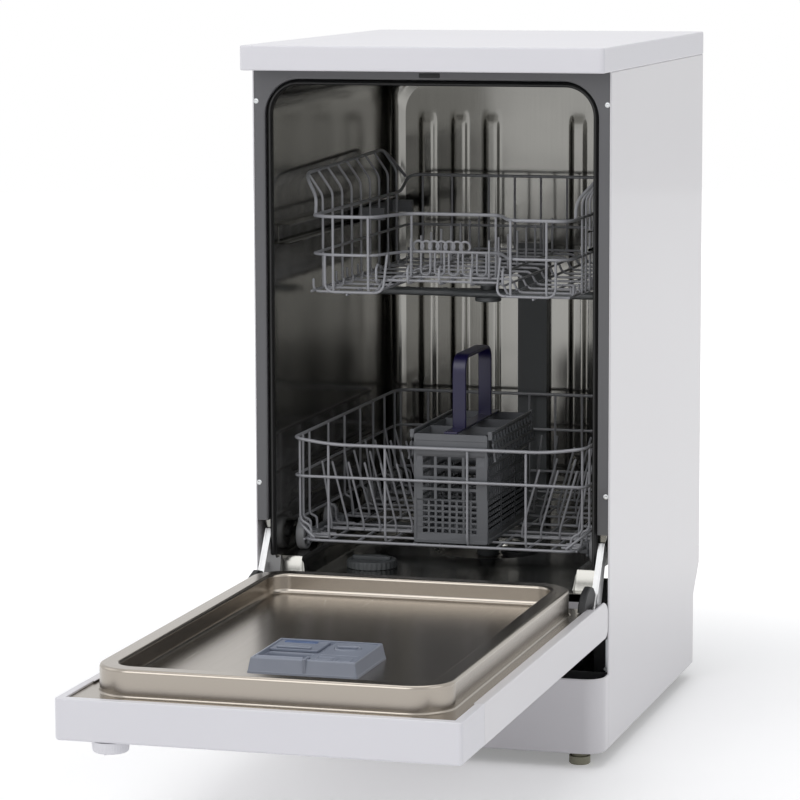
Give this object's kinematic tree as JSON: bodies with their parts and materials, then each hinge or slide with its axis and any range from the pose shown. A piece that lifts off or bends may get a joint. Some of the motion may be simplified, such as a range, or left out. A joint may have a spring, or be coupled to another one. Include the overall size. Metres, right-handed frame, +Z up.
{
  "type": "slimline dishwasher",
  "caption": "Free-standing slimline dishwasher with a drop-down door, two sliding wire baskets, cutlery basket, spray arms and dispenser.",
  "frame": {"origin": "on the floor under the middle of the cabinet's front plane", "axes": "+X across the front, to the right as one faces the machine, +Y from the front to the back, +Z up; the door opens towards -Y"},
  "size_m": [0.45, 1.2396, 0.866],
  "materials": {
    "white_laminate": "smooth white laminate",
    "white_enamel": "gloss white powder coat",
    "galvanised_steel": "zinc coated",
    "black_plastic": "moulded",
    "beige_plastic": "moulded",
    "zinc_screw": "zinc plated",
    "grey_enamel": "satin grey paint",
    "black_rubber": "matt",
    "stainless": "bright stainless sheet",
    "grey_plastic": "moulded",
    "filter_plastic": "moulded",
    "pump_plastic": "moulded",
    "white_plastic": "satin moulded",
    "board": "circuit board",
    "dispenser_plastic": "moulded",
    "blue_plastic": "moulded",
    "spring_steel": "spring steel",
    "coated_wire": "grey nylon coated steel wire",
    "wheel_plastic": "moulded",
    "basket_plastic": "moulded",
    "purple_plastic": "satin moulded"
  },
  "bodies": {
    "cabinet": {"worktop": "white_laminate", "side_panel_left": "white_enamel", "side_panel_right": "white_enamel", "back_panel": "galvanised_steel", "base_tray": "black_plastic", "plinth": "white_enamel", "levelling_feet": "beige_plastic", "screws": "zinc_screw", "front_frame": "grey_enamel", "tub_gasket": "black_rubber", "tub_shell": "stainless", "tub_back": "stainless", "tub_floor": "stainless", "sump": "grey_plastic", "circulation_pump": "pump_plastic", "drain_pump": "pump_plastic", "rear_feed_pipe": "grey_plastic", "inlet_valve": "white_plastic", "drain_spigot": "grey_plastic", "cord_gland": "black_plastic", "hinge_brackets": "galvanised_steel", "door_springs": "spring_steel", "door_strike": "galvanised_steel", "basket_rail_left": "stainless", "basket_rail_right": "stainless"},
    "door": {"door_outer_panel": "white_enamel", "control_panel": "white_plastic", "control_board": "board", "door_liner": "stainless", "dispenser_body": "dispenser_plastic", "hinge_arms": "galvanised_steel", "door_catch": "black_plastic"},
    "programme_knob": {"programme_knob": "white_plastic"},
    "power_button": {"power_button": "white_plastic"},
    "dispenser_lid": {"dispenser_lid": "dispenser_plastic"},
    "rinse_cap": {"rinse_cap": "blue_plastic"},
    "dispenser_latch": {"dispenser_latch": "dispenser_plastic"},
    "lower_basket": {"lower_basket_floor": "coated_wire", "lower_basket_walls": "coated_wire", "lower_basket_tines": "coated_wire", "lower_wheel_carriers": "wheel_plastic", "cutlery_basket": "basket_plastic", "cutlery_handle": "purple_plastic"},
    "lower_wheels_1": {"lower_wheels_1": "wheel_plastic"},
    "lower_wheels_2": {"lower_wheels_2": "wheel_plastic"},
    "lower_wheels_3": {"lower_wheels_3": "wheel_plastic"},
    "lower_wheels_4": {"lower_wheels_4": "wheel_plastic"},
    "cutlery_flap_right": {"cutlery_flap_right": "basket_plastic"},
    "cutlery_flap_left": {"cutlery_flap_left": "basket_plastic"},
    "upper_basket": {"upper_basket_floor": "coated_wire", "upper_basket_walls": "coated_wire", "upper_basket_tines": "coated_wire", "upper_roller_brackets": "wheel_plastic", "upper_spray_feed": "grey_plastic"},
    "upper_spray_arm": {"upper_spray_arm": "grey_plastic"},
    "upper_rollers_1": {"upper_rollers_1": "wheel_plastic"},
    "upper_rollers_2": {"upper_rollers_2": "wheel_plastic"},
    "lower_spray_arm": {"lower_spray_arm": "grey_plastic"},
    "sump_filter": {"sump_filter": "filter_plastic"},
    "salt_cap": {"salt_cap": "grey_plastic"}
  },
  "joints": [
    {"name": "door_hinge", "type": "hinge", "parent": "cabinet", "child": "door", "pos_m": [0, -0.0265, 0.1765], "axis": [-1, 0, 0], "range_deg": [0, 90]},
    {"name": "lower_basket_slide", "type": "slide", "parent": "cabinet", "child": "lower_basket", "axis": [0, 1, 0], "range_m": [-0.475, 0]},
    {"name": "upper_basket_slide", "type": "slide", "parent": "cabinet", "child": "upper_basket", "axis": [0, 1, 0], "range_m": [-0.32, 0]},
    {"name": "lower_wheels_1_roll", "type": "hinge", "parent": "lower_basket", "child": "lower_wheels_1", "pos_m": [0, 0.085, 0.25], "axis": [1, 0, 0], "continuous": true},
    {"name": "lower_wheels_2_roll", "type": "hinge", "parent": "lower_basket", "child": "lower_wheels_2", "pos_m": [0, 0.2, 0.25], "axis": [1, 0, 0], "continuous": true},
    {"name": "lower_wheels_3_roll", "type": "hinge", "parent": "lower_basket", "child": "lower_wheels_3", "pos_m": [0, 0.393, 0.25], "axis": [1, 0, 0], "continuous": true},
    {"name": "lower_wheels_4_roll", "type": "hinge", "parent": "lower_basket", "child": "lower_wheels_4", "pos_m": [0, 0.487, 0.25], "axis": [1, 0, 0], "continuous": true},
    {"name": "upper_rollers_1_roll", "type": "hinge", "parent": "upper_basket", "child": "upper_rollers_1", "pos_m": [0, 0.36, 0.632], "axis": [1, 0, 0], "continuous": true},
    {"name": "upper_rollers_2_roll", "type": "hinge", "parent": "upper_basket", "child": "upper_rollers_2", "pos_m": [0, 0.47, 0.632], "axis": [1, 0, 0], "continuous": true},
    {"name": "lower_spray_arm_spin", "type": "hinge", "parent": "cabinet", "child": "lower_spray_arm", "pos_m": [0, 0.28, 0.225], "axis": [0, 0, 1], "continuous": true},
    {"name": "upper_spray_arm_spin", "type": "hinge", "parent": "upper_basket", "child": "upper_spray_arm", "pos_m": [0, 0.28, 0.54], "axis": [0, 0, 1], "continuous": true},
    {"name": "programme_knob_turn", "type": "hinge", "parent": "door", "child": "programme_knob", "pos_m": [-0.168, -0.6615, 0.15], "axis": [0, 0, -1], "continuous": true},
    {"name": "power_button_press", "type": "slide", "parent": "door", "child": "power_button", "axis": [0, 0, 1], "range_m": [0, 0.002], "stiffness_N_per_m": 400},
    {"name": "dispenser_lid_slide", "type": "slide", "parent": "door", "child": "dispenser_lid", "axis": [0, -1, 0], "range_m": [0, 0.047]},
    {"name": "dispenser_latch_press", "type": "slide", "parent": "door", "child": "dispenser_latch", "axis": [0, 0, -1], "range_m": [0, 0.002], "stiffness_N_per_m": 400},
    {"name": "rinse_cap_turn", "type": "hinge", "parent": "door", "child": "rinse_cap", "pos_m": [0.032, -0.453, 0.22], "axis": [0, 0, 1], "range_deg": [0, 90]},
    {"name": "cutlery_flap_right_fold", "type": "hinge", "parent": "lower_basket", "child": "cutlery_flap_right", "pos_m": [0.064, 0.148, 0.3915], "axis": [0, -1, 0], "range_deg": [0, 262]},
    {"name": "cutlery_flap_left_fold", "type": "hinge", "parent": "lower_basket", "child": "cutlery_flap_left", "pos_m": [-0.036, 0.148, 0.3915], "axis": [0, 1, 0], "range_deg": [0, 262]},
    {"name": "sump_filter_twist", "type": "hinge", "parent": "cabinet", "child": "sump_filter", "pos_m": [0.042, 0.28, 0.18], "axis": [0, 0, 1], "range_deg": [0, 60]},
    {"name": "salt_cap_turn", "type": "hinge", "parent": "cabinet", "child": "salt_cap", "pos_m": [-0.11, 0.12, 0.21], "axis": [0, 0, 1], "continuous": true}
  ],
  "couplings": [
    {"joint": "lower_wheels_1_roll", "follows": "lower_basket_slide", "rad_per_m": -50.761},
    {"joint": "lower_wheels_2_roll", "follows": "lower_basket_slide", "rad_per_m": -50.761},
    {"joint": "lower_wheels_3_roll", "follows": "lower_basket_slide", "rad_per_m": -50.761},
    {"joint": "lower_wheels_4_roll", "follows": "lower_basket_slide", "rad_per_m": -50.761},
    {"joint": "upper_rollers_1_roll", "follows": "upper_basket_slide", "rad_per_m": -90.909},
    {"joint": "upper_rollers_2_roll", "follows": "upper_basket_slide", "rad_per_m": -90.909}
  ]
}
